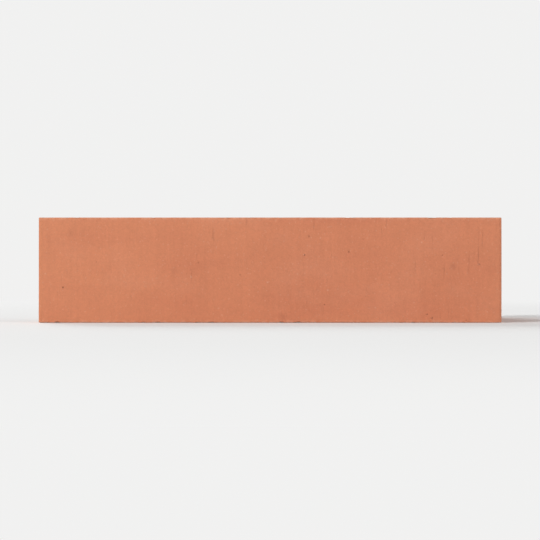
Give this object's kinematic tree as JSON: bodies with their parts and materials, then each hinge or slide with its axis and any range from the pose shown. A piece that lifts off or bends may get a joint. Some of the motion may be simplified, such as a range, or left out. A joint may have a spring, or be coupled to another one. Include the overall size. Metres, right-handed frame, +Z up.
{
  "type": "corner brick slip",
  "caption": "Thin L-shaped fired-clay slip that turns a brick-faced wall round an outside corner, with a dovetail-grooved back.",
  "frame": {"origin": "centre of the bounding box's underside, with the slip standing on one bed as it is laid", "axes": "+X along the long leg, out of the header face; -Y out of the stretcher face; +Z up, square to the beds"},
  "size_m": [0.22, 0.105, 0.05],
  "materials": {
    "fired_clay": "matte"
  },
  "bodies": {
    "root": {"corner_slip": "fired_clay"}
  },
  "joints": []
}
